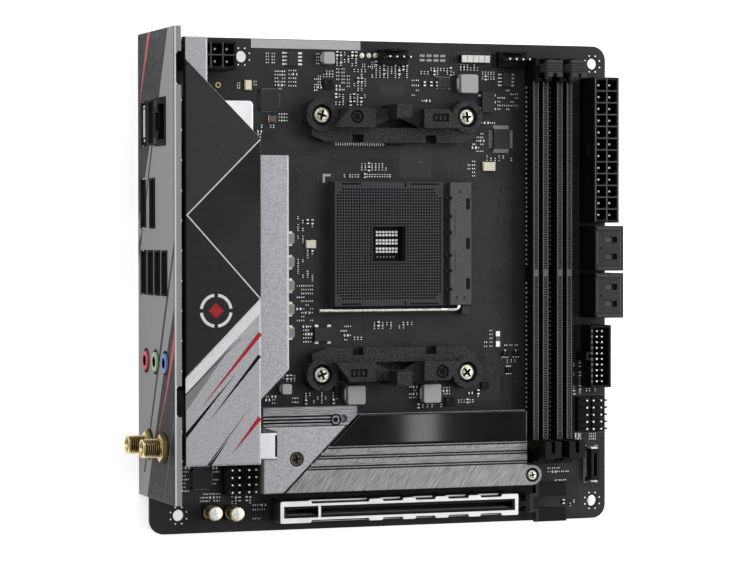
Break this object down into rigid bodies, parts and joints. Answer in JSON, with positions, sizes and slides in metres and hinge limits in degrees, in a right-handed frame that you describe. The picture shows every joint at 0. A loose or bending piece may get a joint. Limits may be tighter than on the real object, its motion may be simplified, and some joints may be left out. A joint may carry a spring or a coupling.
{
  "type": "computer motherboard",
  "caption": "Small square computer motherboard with rear port shield and cover, heatsinks, processor socket with lever, memory slots and expansion slot with latches.",
  "frame": {"origin": "midway between the two standoff holes of the expansion-slot edge, at the underside of the circuit board", "axes": "+X from the rear connectors to the front edge, +Y from the expansion-slot edge to the processor-power edge, +Z out of the component side"},
  "size_m": [0.1816, 0.1708, 0.046],
  "materials": {
    "board_laminate": "dark satin laminate",
    "printed_steel": "printed satin steel",
    "port_steel": "bright tinned sheet",
    "black_plastic": "fine-textured moulding",
    "pink_plastic": "satin",
    "green_plastic": "satin",
    "blue_plastic": "satin",
    "gilt_brass": "plated",
    "wifi_board": "card with a shield can",
    "cell_wrap": "heat-shrink wrap",
    "silver_grained": "grained anodised",
    "cover_panel": "matte black with printed bands",
    "brushed_aluminium": "brushed",
    "grey_pad": "soft pad",
    "chip_black": "moulded package",
    "choke_grey": "pressed ferrite",
    "gloss_black": "glossy",
    "nickel_screw": "plated",
    "dark_screw": "dark plated",
    "socket_plastic": "warm dark moulding",
    "lever_wire": "plated wire",
    "pad_grey": "ceramic",
    "insulator": "film",
    "backplate_steel": "black painted steel",
    "tinned": "tinned",
    "gold": "gold plated",
    "header_plastic": "moulding",
    "capacitor_can": "bare can",
    "ceramic": "ceramic and tin"
  },
  "bodies": {
    "board": {"aerial_nuts": "gilt_brass", "aerial_sockets": "gilt_brass", "audio_jack_block": "black_plastic", "audio_ring_blue": "blue_plastic", "audio_ring_green": "green_plastic", "audio_ring_pink": "pink_plastic", "backplate_insulator": "insulator", "capacitors": "capacitor_can", "card_sockets": "black_plastic", "chips": "chip_black", "chipset": "chip_black", "chipset_heatsink": "silver_grained", "chipset_heatsink_plate": "silver_grained", "chipset_plate_screw": "dark_screw", "chokes": "choke_grey", "coin_cell": "cell_wrap", "cooler_backplate": "backplate_steel", "cooler_brackets": "black_plastic", "cooler_screws": "nickel_screw", "cpu_power_header": "header_plastic", "cpu_socket_base": "socket_plastic", "cpu_socket_cam_box": "socket_plastic", "cpu_socket_capacitors": "pad_grey", "crystals": "ceramic", "dimm_contact_tails": "tinned", "dimm_slot_a": "black_plastic", "dimm_slot_b": "black_plastic", "edge_connector": "header_plastic", "header_pins": "gold", "heatsink_link_bracket": "brushed_aluminium", "io_cover": "silver_grained", "io_cover_panel": "cover_panel", "io_shield": "printed_steel", "lan_usb_stack": "port_steel", "m2_gloss_strip": "gloss_black", "m2_heatsink": "brushed_aluminium", "m2_heatsink_screw": "nickel_screw", "m2_standoffs": "gilt_brass", "main_power_header": "header_plastic", "pcb": "board_laminate", "pcie_slot_contacts": "gold", "pcie_slot_housing": "black_plastic", "pcie_slot_shell": "port_steel", "pin_header_bases": "header_plastic", "power_header_pins": "gold", "quad_usb_stack": "port_steel", "regulator_chokes": "choke_grey", "regulator_heatsink_base": "brushed_aluminium", "regulator_heatsink_column": "silver_grained", "regulator_switches": "chip_black", "sata_stacks": "header_plastic", "thermal_pads": "grey_pad", "usb3_header": "header_plastic", "video_port_stack": "port_steel", "wifi_card": "wifi_board"},
    "cpu_lever": {"cpu_socket_lever": "lever_wire"},
    "socket_cover": {"cpu_socket_cover": "socket_plastic"},
    "dimm_latch_a": {"dimm_latch_a": "black_plastic"},
    "dimm_latch_b": {"dimm_latch_b": "black_plastic"},
    "pcie_latch": {"pcie_latch": "black_plastic"}
  },
  "joints": [
    {"name": "lever_hinge", "type": "hinge", "parent": "board", "child": "cpu_lever", "pos_m": [0.02437, 0.09065, 0.0049], "axis": [0, 1, 0], "range_deg": [0, 90]},
    {"name": "cover_slide", "type": "slide", "parent": "board", "child": "socket_cover", "axis": [1, 0, 0], "range_m": [0, 0.0011]},
    {"name": "latch_a_hinge", "type": "hinge", "parent": "board", "child": "dimm_latch_a", "pos_m": [0.05407, 0.15465, 0.0046], "axis": [-1, 0, 0], "range_deg": [0, 30]},
    {"name": "latch_b_hinge", "type": "hinge", "parent": "board", "child": "dimm_latch_b", "pos_m": [0.06327, 0.15465, 0.0046], "axis": [-1, 0, 0], "range_deg": [0, 30]},
    {"name": "slot_latch_hinge", "type": "hinge", "parent": "board", "child": "pcie_latch", "pos_m": [0.04737, 0.0008, 0.0045], "axis": [0, 1, 0], "range_deg": [0, 15], "stiffness_Nm_per_rad": 0.05}
  ],
  "couplings": [
    {"joint": "cover_slide", "follows": "lever_hinge", "m_per_rad": 0.0007}
  ]
}
